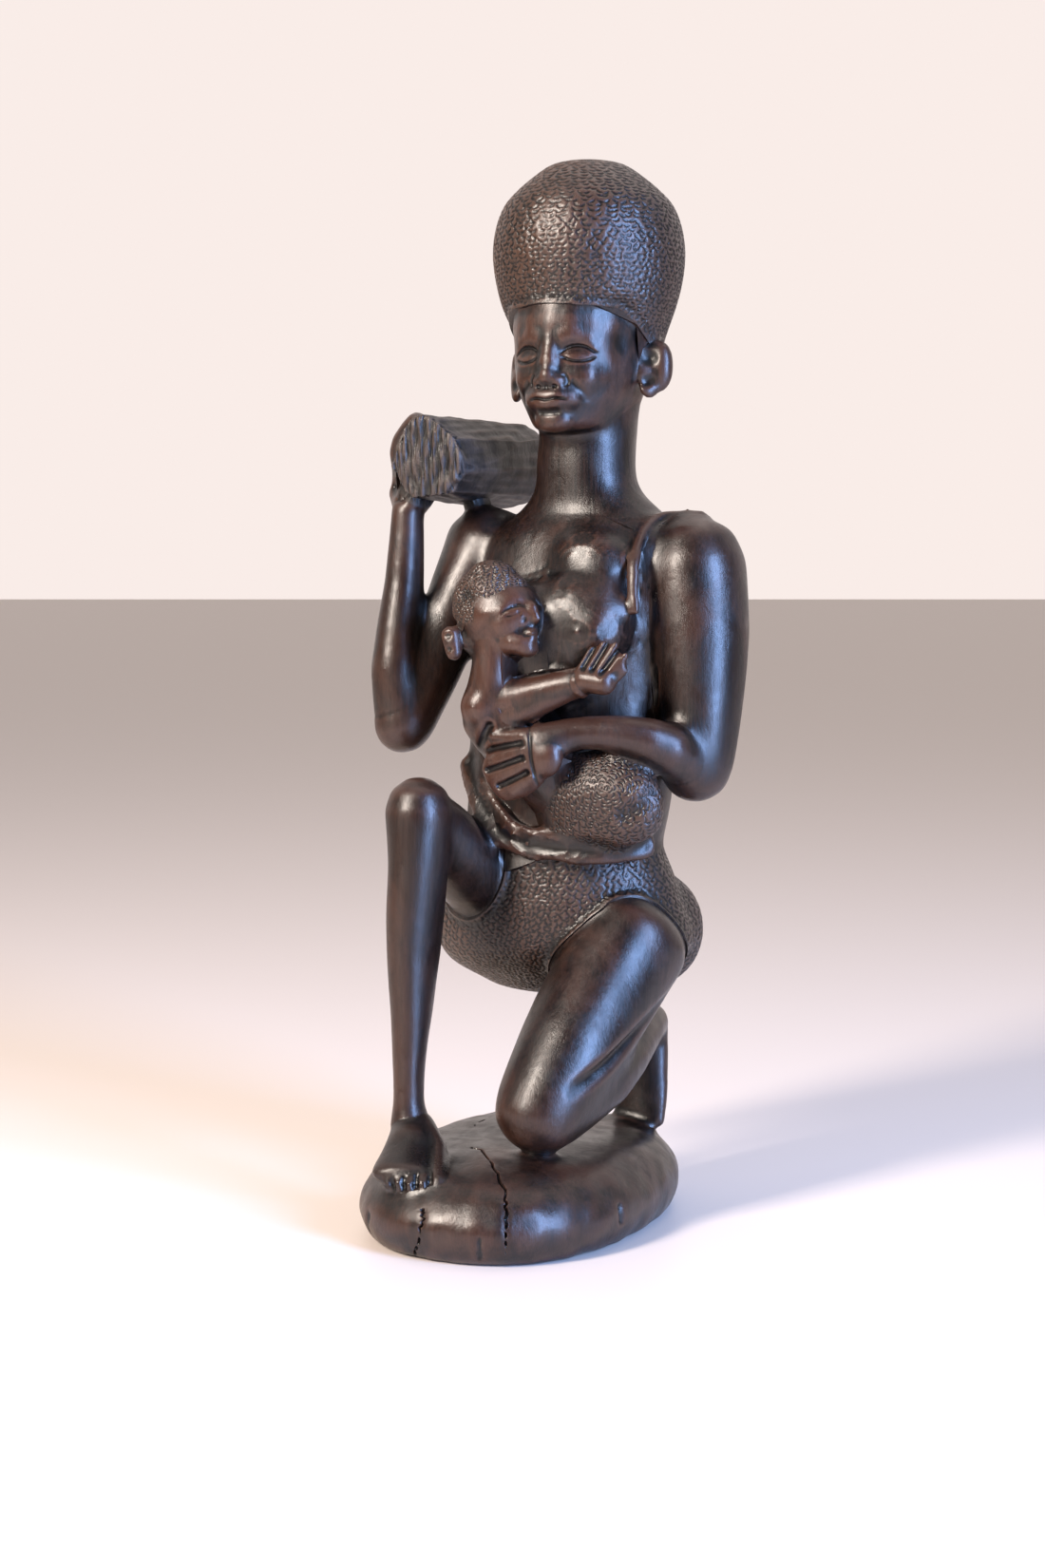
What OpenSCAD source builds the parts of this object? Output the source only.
// Kneeling bearer with a log and a child: a hardwood carving on a domed base.
// The figure faces -Y, its left hand side is +X, and the base stands on Z = 0.
// The whole carving is one block of wood, and each node is one carved part of it.

/* [Base] */
// Length of the base, front to back
base_length = 156; // [132:1:190]
// Width of the base, side to side
base_width = 114; // [96:1:138]
// Height of the base at its crown
base_height = 34; // [28:1:41]
// Height of the base's widest level
base_side = 14; // [11:1:17]

/* [Legs] */
// Height of the raised knee above the crown of the base
raised_knee_height = 146; // [122:1:176]
// Radius of the raised knee
raised_knee_radius = 13.5; // [11:0.5:16]
// Radius of the raised leg's ankle
ankle_radius = 5.5; // [4.5:0.25:7]
// Length of a foot
foot_length = 42; // [35:1:50]
// Width of a foot
foot_width = 27; // [22:1:32]
// Radius of the knee that the figure kneels on
kneeling_knee_radius = 18.5; // [15.5:0.5:22.5]
// Radius of a thigh at the hip
thigh_radius = 23; // [19:0.5:27]
// Height of the kneeling leg's heel above the crown of the base
heel_height = 38; // [32:1:46]

/* [Trunk] */
// Height of the hips' widest level above the crown of the base
hip_height = 72; // [60:1:86]
// Width across the hips
hip_width = 114; // [97:1:134]
// Depth of the hips, front to back
hip_depth = 76; // [64:1:90]
// Height of the waistline above the hips' widest level
waist_rise = 41; // [35:1:49]
// Width across the waist
waist_width = 88; // [74:1:104]
// Depth of the belly, front to back
waist_depth = 66; // [56:1:78]
// Height of the shoulders' tops above the waistline
shoulder_rise = 138; // [115:1:165]
// Width between the two shoulder joints
shoulder_span = 96; // [82:1:115]
// Radius of a shoulder
shoulder_radius = 22; // [18.5:0.5:26]

/* [Head] */
// Radius of the neck
neck_radius = 19.5; // [16.5:0.5:23]
// Height from the shoulders' tops to the underside of the jaw
neck_length = 33; // [28:1:39]
// Height of the face, from jaw to hairline
face_height = 48; // [40:1:57]
// Width of the head at the temples
head_width = 54; // [46:1:64]
// Greatest width of the hair
hair_width = 79; // [68:1:94]
// Height of the hair above the hairline
hair_height = 59; // [50:1:70]
// Height of an ear
ear_height = 22; // [18:1:26]

/* [Arms and log] */
// Radius of an elbow
elbow_radius = 15; // [12.5:0.5:18]
// Radius of a wrist
wrist_radius = 6.5; // [5.5:0.25:7.75]
// Length of the log
log_length = 84; // [70:1:100]
// Radius of the log
log_radius = 19; // [16:0.5:22]
// Radius of the sling's cord
cord_radius = 1.8; // [1.5:0.1:2.6]

/* [Child] */
// Length of the child's head, from brow to nape
child_head_length = 37; // [31:1:43]
// Radius of the child's body
child_radius = 13; // [11:0.5:15.5]
// Width of the child's wrap
wrap_width = 54; // [45:1:64]
// Height of the child's wrap
wrap_height = 43; // [36:1:51]

/* [Hidden] */

sides = 20;          // sides of every large ring
fine_sides = 12;     // sides of every small ring
cap_rings = 2;       // rings that round off a closed end
spans = 2;           // rings between one station and the next
ebony = "#2b1d17";   // polished wood
worn = "#4a2f22";    // wood that handling has lightened
gouged = "#3a2a20";  // wood with a carved texture

// Heights, each built on the one below
z_hip = base_height + hip_height;
z_waist = z_hip + waist_rise;
z_shoulder = z_waist + shoulder_rise;
z_jaw = z_shoulder + neck_length;
z_hairline = z_jaw + face_height;

// The trunk's centre line, across and front to back, and the head's, which leans a little to its left
trunk = [4, 39];
crown = [10, 43];
belly_front = trunk.y - waist_depth / 2;
reach_of_brow = 40;  // half the width of the tool that cuts the child's hairline

// Joints of the skeleton
raised_hip = [trunk.x - hip_width / 2 + thigh_radius + 7, trunk.y - 5, z_hip + 18];
raised_knee = [-30, -28, base_height + raised_knee_height - raised_knee_radius];
raised_ankle = [-29, -36, base_height + 18];
kneeling_hip = [trunk.x + hip_width / 2 - thigh_radius, trunk.y - 9, z_hip + 7];
kneeling_knee = [23, -27, base_height + kneeling_knee_radius - 1];
kneeling_heel = [28, 63, base_height + heel_height];
left_shoulder = [trunk.x + shoulder_span / 2 + 4, trunk.y + 4, z_shoulder - shoulder_radius];
left_elbow = [62, 34, z_waist + elbow_radius + 21];
left_wrist = [15, -10, z_waist + 45];
right_shoulder = [trunk.x - shoulder_span / 2 + 10, trunk.y + 4, z_shoulder - shoulder_radius + 6];
right_elbow = [-58, 9, z_waist + elbow_radius + 36];
log_centre = [-45, 4, z_shoulder + log_radius + 1];
right_wrist = [-57, 12, log_centre.z - log_radius + 2];
child_crown = [-6, -6, z_waist + 98];
child_shoulder = [-13, -6, z_waist + 59];
child_seat = [32, belly_front, z_waist + wrap_height / 2];

function unit(v) = v / norm(v);
function power(x, e) = sign(x) * pow(abs(x), e);
function way(a, b, t, off = [0, 0, 0]) = a + (b - a) * t + off;

// A ring of n points round centre c in the plane of u and v. Its four radii point along +u, -u, +v and -v.
// Squareness 1 is an ellipse, and less is squarer.
function ring(c, u, v, r, n, squareness = 1) =
    [for (i = [0:n - 1])
        let (x = power(cos(360 * i / n), squareness), y = power(sin(360 * i / n), squareness))
        c + u * x * (x > 0 ? r[0] : r[1]) + v * y * (y > 0 ? r[2] : r[3])];

// A smooth curve through four neighbouring stations, at t from 0 to 1 between the second and the third
function curve(a, b, c, d, t) =
    (2 * b + (c - a) * t + (2 * a - 5 * b + 4 * c - d) * t * t + (3 * b - a - 3 * c + d) * t * t * t) / 2;
function refine(s) = [
    for (i = [0:len(s) - 2], k = [0:spans - 1])
        curve(s[max(i - 1, 0)], s[i], s[i + 1], s[min(i + 2, len(s) - 1)], k / spans),
    s[len(s) - 1]];
function place(s) = [s[0], s[1], s[2]];
function radii(s) = [s[3], s[4], s[5], s[6]];
function backwards(list) = [for (i = [len(list) - 1:-1:0]) list[i]];

// The rings that round off an end, beyond the ring at c that faces along o
function cap(c, o, u, v, r, depth, n, squareness) = depth <= 0 ? [] :
    [for (k = [1:cap_rings]) let (a = 90 * k / (cap_rings + 0.5))
        ring(c + o * depth * sin(a), u, v, r * cos(a), n, squareness)];

// Skins a list of rings, each hulled to the next
module skin(rings) {
    n = len(rings[0]);
    for (i = [0:len(rings) - 2])
        hull() polyhedron(concat(rings[i], rings[i + 1]), [[for (j = [0:n - 1]) j], [for (j = [0:n - 1]) n + j]]);
}

// A form of level rings. Each station is [x, y, z, right, left, back, front], the last four being its radii.
module tower(stations, bottom = 0, top = 0, squareness = 1, n = sides) {
    s = refine(stations);
    e = len(s) - 1;
    u = [1, 0, 0];
    v = [0, 1, 0];
    up = [0, 0, 1];
    skin([
        each backwards(cap(place(s[0]), -up, u, v, radii(s[0]), bottom, n, squareness)),
        for (q = s) ring(place(q), u, v, radii(q), n, squareness),
        each cap(place(s[e]), up, u, v, radii(s[e]), top, n, squareness)]);
}

// A form of rings square to its path. Each station is [point, radius to either side, other radius], and facing is
// the way that the other radius points.
module limb(stations, facing, start = 0, end = 0, n = sides) {
    s = refine([for (q = stations) [q[0].x, q[0].y, q[0].z, q[1], q[1], q[2], q[2]]]);
    e = len(s) - 1;
    p = [for (q = s) place(q)];
    t = [for (i = [0:e]) unit(p[min(i + 1, e)] - p[max(i - 1, 0)])];
    u = [for (d = t) unit(cross(facing, d))];
    v = [for (i = [0:e]) cross(t[i], u[i])];
    skin([
        each backwards(cap(p[0], -t[0], u[0], v[0], radii(s[0]), start, n, 1)),
        for (i = [0:e]) ring(p[i], u[i], v[i], radii(s[i]), n),
        each cap(p[e], t[e], u[e], v[e], radii(s[e]), end, n, 1)]);
}

// --- Forms, each whole; the modules below trim them where they meet ---

module base_form() {
    a = base_width / 2;
    b = base_length / 2;
    tower([
        [2, 0, 0, a - 5, a - 5, b - 5, b - 5],
        [2, 0, base_side * 0.4, a - 1.5, a - 1.5, b - 1.5, b - 1.5],
        [2, 0, base_side, a, a, b, b],
        [2, 0, base_height * 0.7, a - 5, a - 5, b - 6, b - 6],
        [2, 0, base_height - 3, a - 16, a - 16, b - 17, b - 18],
        [2, 0, base_height, a - 36, a - 36, b - 38, b - 40]], squareness = 0.85, n = 28);
}

module raised_thigh_form() {
    limb([
        [raised_hip, thigh_radius - 3, thigh_radius - 3],
        [way(raised_hip, raised_knee, 0.45, [0, 0, -2]), thigh_radius - 6, thigh_radius - 6],
        [way(raised_hip, raised_knee, 0.8), raised_knee_radius, raised_knee_radius - 0.5],
        [raised_knee, raised_knee_radius - 2, raised_knee_radius - 2]], [0, 0, 1], 8, 4);
}

module raised_shin_form() {
    limb([
        [raised_knee, raised_knee_radius, raised_knee_radius],
        [way(raised_knee, raised_ankle, 0.2, [0, 1, 0]), raised_knee_radius - 2, raised_knee_radius],
        [way(raised_knee, raised_ankle, 0.5, [-1, 3, 0]), raised_knee_radius - 4, raised_knee_radius - 1.5],
        [way(raised_knee, raised_ankle, 0.8, [0, 1, 0]), ankle_radius + 1, ankle_radius + 2],
        [raised_ankle, ankle_radius, ankle_radius + 1],
        [raised_ankle - [0, 0, 10], ankle_radius + 2.5, ankle_radius + 3]],
        [0, -1, 0], raised_knee_radius, 6);
}

module raised_foot_form() {
    heel = [raised_ankle.x - 1, raised_ankle.y + 7, base_height];
    toes = heel + unit([12, -31, -4]) * (foot_length - 4);
    limb([
        [heel, foot_width * 0.35, 8],
        [way(heel, toes, 0.3, [0, 0, 4]), foot_width * 0.36, 10],
        [way(heel, toes, 0.65, [0, 0, 1]), foot_width * 0.45, 8],
        [way(heel, toes, 0.9), foot_width * 0.5, 6],
        [toes, foot_width * 0.48, 5]], [0, 0, 1], 5, 4);
}

module kneeling_thigh_form() {
    limb([
        [kneeling_hip, thigh_radius, thigh_radius + 1],
        [way(kneeling_hip, kneeling_knee, 0.35, [-1, 1, 1]), thigh_radius, thigh_radius],
        [way(kneeling_hip, kneeling_knee, 0.7, [0, 0, 1]), thigh_radius - 1.5, thigh_radius - 1.5],
        [kneeling_knee, kneeling_knee_radius, kneeling_knee_radius - 1]], [0, -1, 1], 12, kneeling_knee_radius - 1);
}

module kneeling_shin_form() {
    limb([
        [kneeling_knee + [2, 3, -1], kneeling_knee_radius - 3, kneeling_knee_radius - 3],
        [way(kneeling_knee, kneeling_heel, 0.35, [8, 0, 1]), kneeling_knee_radius - 3, kneeling_knee_radius - 5],
        [way(kneeling_knee, kneeling_heel, 0.75, [5, 0, 2]), ankle_radius + 6, ankle_radius + 5],
        [kneeling_heel, ankle_radius + 4.5, ankle_radius + 3]], [0, 0, 1], 8, 5);
}

module kneeling_foot_form() {
    sole = [kneeling_heel.x - 1, kneeling_heel.y - 6, base_height - 5];
    limb([
        [kneeling_heel + [0, 1, 0], ankle_radius + 4, 6],
        [way(kneeling_heel, sole, 0.4, [0, 2, 0]), foot_width * 0.4, 6],
        [way(kneeling_heel, sole, 0.75, [0, 1, 0]), foot_width * 0.46, 5],
        [sole, foot_width * 0.46, 5]], [0, 1, 0], 5, 2);
}

module loincloth_form() {
    a = hip_width / 2;
    b = hip_depth / 2;
    x = trunk.x - 4;
    y = trunk.y + 3;
    tower([
        [x - 5, y + 4, z_hip - 16, a - 24, a - 22, b - 10, b - 16],
        [x - 3, y + 2, z_hip - 9, a - 10, a - 7, b - 3, b - 8],
        [x, y, z_hip + 2, a, a, b, b - 1],
        [x, y - 1, z_hip + 20, a - 5, a - 3, b - 2, b],
        [x + 2, trunk.y, z_waist, waist_width / 2 - 2, waist_width / 2 + 1, waist_depth / 2 - 1, waist_depth / 2 + 1]],
        bottom = 6, squareness = 0.95);
}

module torso_form() {
    a = waist_width / 2;
    b = waist_depth / 2;
    rise = shoulder_rise;
    x = trunk.x;
    y = trunk.y;
    tower([
        [x - 2, y, z_waist, a - 3, a, b - 2, b],
        [x, y, z_waist + rise * 0.18, a, a, b - 1, b],
        [x, y + 1, z_waist + rise * 0.4, a, a, b - 2, b - 2],
        [x + 2, y + 2, z_waist + rise * 0.64, a + 3, a, b - 3, b - 1],
        [x + 3, y + 3, z_waist + rise * 0.82, a + 6, a + 2, b - 5, b - 4],
        [x + 4, y + 3, z_waist + rise * 0.92, a + 3, a - 1, b - 8, b - 8],
        [x + 5, y + 4, z_waist + rise * 0.98, a - 12, a - 14, b - 12, b - 12]],
        top = 5, squareness = 0.95);
    // The breast that the child is nursed at
    tower([
        [x + 23, belly_front + 7, z_shoulder - 61, 9, 7, 8, 10],
        [x + 23, belly_front + 7, z_shoulder - 52, 15, 12, 12, 16],
        [x + 23, belly_front + 7, z_shoulder - 42, 16, 13, 12, 15],
        [x + 23, belly_front + 8, z_shoulder - 27, 11, 10, 10, 8]], bottom = 4, top = 4);
}

module neck_form() {
    tower([
        [trunk.x + 6, trunk.y + 4, z_shoulder - 6, neck_radius + 20, neck_radius + 18, neck_radius + 2, neck_radius + 1],
        [trunk.x + 6, trunk.y + 4, z_shoulder + 3, neck_radius + 8, neck_radius + 7, neck_radius, neck_radius],
        [trunk.x + 6, trunk.y + 4, z_shoulder + 11, neck_radius + 1, neck_radius + 1, neck_radius, neck_radius],
        [trunk.x + 6, trunk.y + 4, z_shoulder + neck_length * 0.7, neck_radius, neck_radius, neck_radius, neck_radius],
        [trunk.x + 6, trunk.y + 5, z_jaw + 10, neck_radius + 1, neck_radius + 1, neck_radius + 2, neck_radius]]);
}

module head_form() {
    a = head_width / 2;
    x = crown.x - 1;
    y = crown.y - 3;
    tower([
        [x, y - 2, z_jaw, a - 11, a - 11, a - 8, a - 1],
        [x, y, z_jaw + face_height * 0.25, a - 4, a - 4, a + 1, a + 5],
        [x, y, z_jaw + face_height * 0.6, a, a, a + 6, a + 5],
        [x, y + 1, z_hairline, a, a, a + 6, a + 5],
        [x, y + 2, z_hairline + 12, a - 6, a - 6, a, a - 3]], bottom = 3, top = 5, squareness = 0.95);
    // The nose
    skin([
        ring([x, y - a - 4, z_jaw + face_height * 0.78], [1, 0, 0], [0, 1, 0], [2, 2, 3, 1], 8),
        ring([x, y - a - 4, z_jaw + face_height * 0.5], [1, 0, 0], [0, 1, 0], [5, 5, 3, 5], 8)]);
}

module hair_form() {
    a = hair_width / 2;
    x = crown.x;
    y = crown.y;
    h = hair_height;
    difference() {
        tower([
            [x - 1, y + 2, z_hairline - h * 0.55, a - 14, a - 14, a - 9, a - 9],
            [x, y, z_hairline - h * 0.2, a - 9, a - 9, a - 5, a - 6],
            [x, y, z_hairline + h * 0.06, a - 3, a - 3, a - 2, a - 4],
            [x, y, z_hairline + h * 0.38, a, a, a, a],
            [x, y, z_hairline + h * 0.7, a - 5, a - 5, a - 5, a - 4],
            [x, y, z_hairline + h * 0.92, a - 20, a - 20, a - 20, a - 18]], top = h * 0.08, bottom = 3);
        // The hairline is level over the brow and falls behind it to the nape
        translate([x, y - head_width / 2 + 6, z_hairline]) {
            translate([-a * 2, -a * 4, -a * 4])
                cube([a * 4, a * 4, a * 4]);
            rotate([-36, 0, 0])
                translate([-a * 2, 0, -a * 4])
                    cube([a * 4, a * 5, a * 4]);
        }
    }
}

// An ear on one side of the head: side is 1 for the left and -1 for the right
module ear_form(side) {
    middle = [crown.x - 1 + side * (head_width / 2 + 2.5), crown.y - 2, z_jaw + face_height * 0.46];
    half = ear_height / 2;
    limb([
        [middle + [side * 1, 1, half - 4], 2.5, 6],
        [middle + [side * 1, 1, 0], 3, 8.5],
        [middle + [0, -2, 4 - half], 2.5, 4.5]], [side * 0.6, 0.8, 0], 4, 4, n = fine_sides);
}

module left_upper_arm_form() {
    limb([
        [left_shoulder, shoulder_radius, shoulder_radius - 1],
        [way(left_shoulder, left_elbow, 0.35, [2, 0, 0]), shoulder_radius - 1, shoulder_radius - 1.5],
        [way(left_shoulder, left_elbow, 0.75, [2, 0, 0]), elbow_radius + 2, elbow_radius + 2.5],
        [left_elbow, elbow_radius, elbow_radius + 0.5]], [0, 1, 0], shoulder_radius - 2, elbow_radius);
}

module left_forearm_form() {
    limb([
        [left_elbow, elbow_radius - 3, elbow_radius - 3],
        [way(left_elbow, left_wrist, 0.25, [7, -8, 6]), elbow_radius - 4.5, elbow_radius - 5],
        [way(left_elbow, left_wrist, 0.5, [6, -7, 9]), wrist_radius + 1.5, wrist_radius + 1],
        [way(left_elbow, left_wrist, 0.78, [1, -3, 7]), wrist_radius, wrist_radius - 0.5],
        [left_wrist, wrist_radius + 3, wrist_radius - 1]], [0, -1, 0], 5, 3);
}

module left_hand_form() {
    tips = left_wrist + [-20, -1, -15];
    limb([
        [left_wrist, wrist_radius + 3, wrist_radius - 1],
        [way(left_wrist, tips, 0.35), wrist_radius + 6, wrist_radius - 1.5],
        [way(left_wrist, tips, 0.7), wrist_radius + 6, wrist_radius - 2.5],
        [tips, wrist_radius + 3, wrist_radius - 4]], [0, -1, 0], 0, 3);
}

module right_upper_arm_form() {
    limb([
        [right_shoulder, shoulder_radius - 1, shoulder_radius - 2],
        [way(right_shoulder, right_elbow, 0.35, [-2, -1, 0]), shoulder_radius - 8, shoulder_radius - 6],
        [way(right_shoulder, right_elbow, 0.7, [-1, 0, 0]), elbow_radius - 2, elbow_radius - 1],
        [right_elbow, elbow_radius - 2.5, elbow_radius - 2]], [0, -1, 0], shoulder_radius - 4, elbow_radius - 2);
}

module right_forearm_form() {
    limb([
        [right_elbow, elbow_radius - 4, elbow_radius - 4],
        [way(right_elbow, right_wrist, 0.25, [-2, -2, 0]), elbow_radius - 4, elbow_radius - 3],
        [way(right_elbow, right_wrist, 0.65, [-1, 0, 0]), wrist_radius + 1.5, wrist_radius + 2],
        [right_wrist, wrist_radius, wrist_radius + 0.5]], [0, -1, 0], 4);
}

module right_hand_form() {
    grip = log_radius + 2;
    limb([
        [right_wrist - [0, 0, 2], wrist_radius, wrist_radius + 0.5],
        for (a = [215, 185, 155, 125])
            [log_centre + [grip * cos(a), 20, grip * sin(a)], a < 150 ? 8 : 10, 5]],
        [0, 0.01, -1], 0, 2);
}

module log_form() {
    back = log_centre + [0, log_length, 1];
    limb([
        [log_centre, log_radius - 2, log_radius - 1],
        [way(log_centre, back, 0.14), log_radius, log_radius],
        [way(log_centre, back, 0.5), log_radius, log_radius],
        [way(log_centre, back, 0.86), log_radius, log_radius],
        [back, log_radius - 3, log_radius - 3]], [0, 0, 1]);
}

module shoulder_cord_form() {
    front = belly_front - 1;
    limb([for (p = [
            [trunk.x + 41.5, front + 5.2, z_shoulder - 41],
            [trunk.x + 40.2, front + 6.6, z_shoulder - 31.6],
            [trunk.x + 39.2, front + 9.4, z_shoulder - 22.3],
            [trunk.x + 37.6, front + 17.4, z_shoulder - 12.4],
            [trunk.x + 38.4, front + 25, z_shoulder - 6.2],
            [trunk.x + 41.5, front + 32.5, z_shoulder - 3.1],
            [trunk.x + 47, front + 37.5, z_shoulder - 2.4],
            [trunk.x + 53.5, front + 42, z_shoulder - 2.4],
            [trunk.x + 55.5, front + 49, z_shoulder - 6],
            [trunk.x + 52.5, front + 55, z_shoulder - 11.4],
            [trunk.x + 47.5, front + 57.4, z_shoulder - 19]]) [p, cord_radius * 1.6, cord_radius]],
        [0.01, -1, 0], 1, 1, n = 8);
}

module sling_band_form() {
    limb([for (p = [
            [trunk.x - 37, belly_front + 16, z_waist + 36],
            [trunk.x - 26, belly_front + 3, z_waist + 22],
            [trunk.x - 10, belly_front - 4, z_waist + 8],
            [trunk.x + 10, belly_front - 5, z_waist + 4],
            [trunk.x + 30, belly_front - 1, z_waist + 4],
            [trunk.x + 44, belly_front + 13, z_waist + 6]]) [p, 7, 4]],
        [0, -1, 0], 3, 3);
}

module child_head_form() {
    r = child_head_length / 2;
    tower([
        [child_crown.x - 1, child_crown.y + 2, child_crown.z - 18, r - 9, r - 10, 9, 7],
        [child_crown.x, child_crown.y, child_crown.z - 9, r - 2, r - 3, 12, 10],
        [child_crown.x, child_crown.y, child_crown.z, r, r, 13, 12],
        [child_crown.x - 1, child_crown.y + 1, child_crown.z + 11, r - 6, r - 6, 9, 8]],
        bottom = 3, top = 5, squareness = 0.95);
}

module child_hair_form() {
    r = child_head_length / 2;
    c = child_crown + [-4, 2, 2];
    difference() {
        tower([
            [c.x, c.y, c.z - 16, r - 6, r - 8, 12, 10],
            [c.x, c.y, c.z - 4, r, r - 2, 14, 13],
            [c.x, c.y, c.z + 7, r - 2, r - 3, 13, 12],
            [c.x, c.y, c.z + 13, r - 8, r - 9, 8, 8]], bottom = 3, top = 5);
        // The hair stops at the brow and behind the ear
        translate(c + [-r * 0.35, -reach_of_brow, 8])
            rotate([0, 30, 0])
                translate([0, 0, -40])
                    cube([60, 2 * reach_of_brow, 40]);
    }
}

module child_ear_form() {
    c = child_crown + [-15, -9, -13];
    limb([
        [c + [-2, 0, 4], 4, 3],
        [c + [0, 0, -4], 3.5, 3]], [0, -1, 0], 3, 3, n = fine_sides);
}

module child_body_form() {
    nape = child_crown + [-5, 4, -15];
    limb([
        [nape, 7, 7],
        [way(nape, child_shoulder, 0.6, [0, 0, 0]), 7.5, 7.5],
        [child_shoulder + [2, 3, -2], child_radius, child_radius - 1],
        [way(child_shoulder, child_seat, 0.4, [-2, 3, -4]), child_radius + 1, child_radius - 2],
        [way(child_shoulder, child_seat, 0.75, [-4, 4, -4]), child_radius + 2, child_radius - 3]],
        [0, -1, 0], 3, 6);
}

module child_arm_form() {
    wrist = child_shoulder + [44, 1, 11];
    limb([
        [child_shoulder, 8.5, 7],
        [way(child_shoulder, wrist, 0.3, [0, -1, -5]), 7, 6],
        [way(child_shoulder, wrist, 0.65, [0, -1, -2]), 6, 5],
        [wrist, 4.5, 4]], [0, -1, 0], 6, 2, n = fine_sides);
}

module child_bracelet_form() {
    wrist = child_shoulder + [41, 0.5, 10];
    limb([[wrist, 6, 5.5], [wrist + [2.4, 0, 1], 6, 5.5]], [0, -1, 0], n = fine_sides);
}

module child_hand_form() {
    wrist = child_shoulder + [44, 1, 11];
    limb([
        [wrist, 5, 4],
        [wrist + [6, 0, 4], 8, 4],
        [wrist + [14, 1, 10], 7.5, 3]], [0, -1, 0], 1, 2, n = fine_sides);
}

module child_wrap_form() {
    a = wrap_width / 2;
    h = wrap_height / 2;
    tower([
        [child_seat.x - 2, child_seat.y + 2, child_seat.z - h + 5, a - 10, a - 9, 9, 8],
        [child_seat.x, child_seat.y + 2, child_seat.z - h * 0.4, a - 1, a - 1, 12, 11],
        [child_seat.x, child_seat.y + 1, child_seat.z + h * 0.3, a, a, 12, 12],
        [child_seat.x, child_seat.y + 3, child_seat.z + h - 5, a - 8, a - 8, 10, 9]],
        bottom = 5, top = 5, squareness = 0.9);
}

// --- Pieces ---

module base() color(ebony) base_form();

module loincloth() color(gouged) loincloth_form();

module torso() color(ebony) difference() {
    torso_form();
    loincloth_form();
}

module neck() color(ebony) difference() {
    neck_form();
    torso_form();
}

module hair() color(gouged) hair_form();

module head() color(ebony) difference() {
    head_form();
    hair_form();
    neck_form();
}

module ear(side) difference() {
    ear_form(side);
    head_form();
    hair_form();
}
module left_ear() color(ebony) ear(1);
module right_ear() color(ebony) ear(-1);

module raised_thigh() color(ebony) difference() {
    raised_thigh_form();
    raised_shin_form();
    loincloth_form();
    torso_form();
    sling_band_form();
}

module raised_shin() color(ebony) difference() {
    raised_shin_form();
    base_form();
}

module raised_foot() color(ebony) difference() {
    raised_foot_form();
    raised_shin_form();
    base_form();
}

module kneeling_thigh() color(ebony) difference() {
    kneeling_thigh_form();
    loincloth_form();
    base_form();
}

module kneeling_shin() color(ebony) difference() {
    kneeling_shin_form();
    kneeling_thigh_form();
    loincloth_form();
    base_form();
}

module kneeling_foot() color(ebony) difference() {
    kneeling_foot_form();
    kneeling_shin_form();
    kneeling_thigh_form();
    loincloth_form();
    base_form();
}

module left_upper_arm() color(ebony) difference() {
    left_upper_arm_form();
    torso_form();
    neck_form();
}

module left_forearm() color(ebony) difference() {
    left_forearm_form();
    left_upper_arm_form();
    torso_form();
}

module right_upper_arm() color(ebony) difference() {
    right_upper_arm_form();
    torso_form();
    neck_form();
    log_form();
}

module right_forearm() color(ebony) difference() {
    right_forearm_form();
    right_upper_arm_form();
    torso_form();
    log_form();
}

module right_hand() color(ebony) difference() {
    right_hand_form();
    right_forearm_form();
    log_form();
}

module log() color(worn) difference() {
    log_form();
    torso_form();
    neck_form();
}

module shoulder_cord() color(ebony) difference() {
    shoulder_cord_form();
    torso_form();
    neck_form();
    left_upper_arm_form();
}

module sling_band() color(worn) difference() {
    sling_band_form();
    torso_form();
    loincloth_form();
}

module child_body() color(worn) difference() {
    child_body_form();
    torso_form();
    sling_band_form();
    left_forearm_form();
}

module child_head() color(worn) difference() {
    child_head_form();
    child_body_form();
    child_hair_form();
    torso_form();
}

module child_hair() color(gouged) difference() {
    child_hair_form();
    child_body_form();
    torso_form();
    right_upper_arm_form();
    right_forearm_form();
}

module child_ear() color(worn) difference() {
    child_ear_form();
    child_head_form();
    child_hair_form();
    child_body_form();
}

module child_arm() color(worn) difference() {
    child_arm_form();
    child_body_form();
    torso_form();
    left_forearm_form();
}

module child_bracelet() color(worn) difference() {
    child_bracelet_form();
    child_arm_form();
    torso_form();
    left_forearm_form();
}

module child_hand() color(worn) difference() {
    child_hand_form();
    child_arm_form();
    child_bracelet_form();
    torso_form();
    left_forearm_form();
}

module child_wrap() color(gouged) difference() {
    child_wrap_form();
    child_body_form();
    torso_form();
    loincloth_form();
    sling_band_form();
    left_forearm_form();
    left_upper_arm_form();
}

module left_hand() color(worn) difference() {
    left_hand_form();
    left_forearm_form();
    torso_form();
    child_body_form();
    child_arm_form();
    child_wrap_form();
    sling_band_form();
}

base();
raised_thigh();
raised_shin();
raised_foot();
kneeling_thigh();
kneeling_shin();
kneeling_foot();
loincloth();
torso();
neck();
head();
hair();
left_ear();
right_ear();
left_upper_arm();
left_forearm();
left_hand();
right_upper_arm();
right_forearm();
right_hand();
log();
shoulder_cord();
sling_band();
child_head();
child_hair();
child_ear();
child_body();
child_arm();
child_bracelet();
child_hand();
child_wrap();
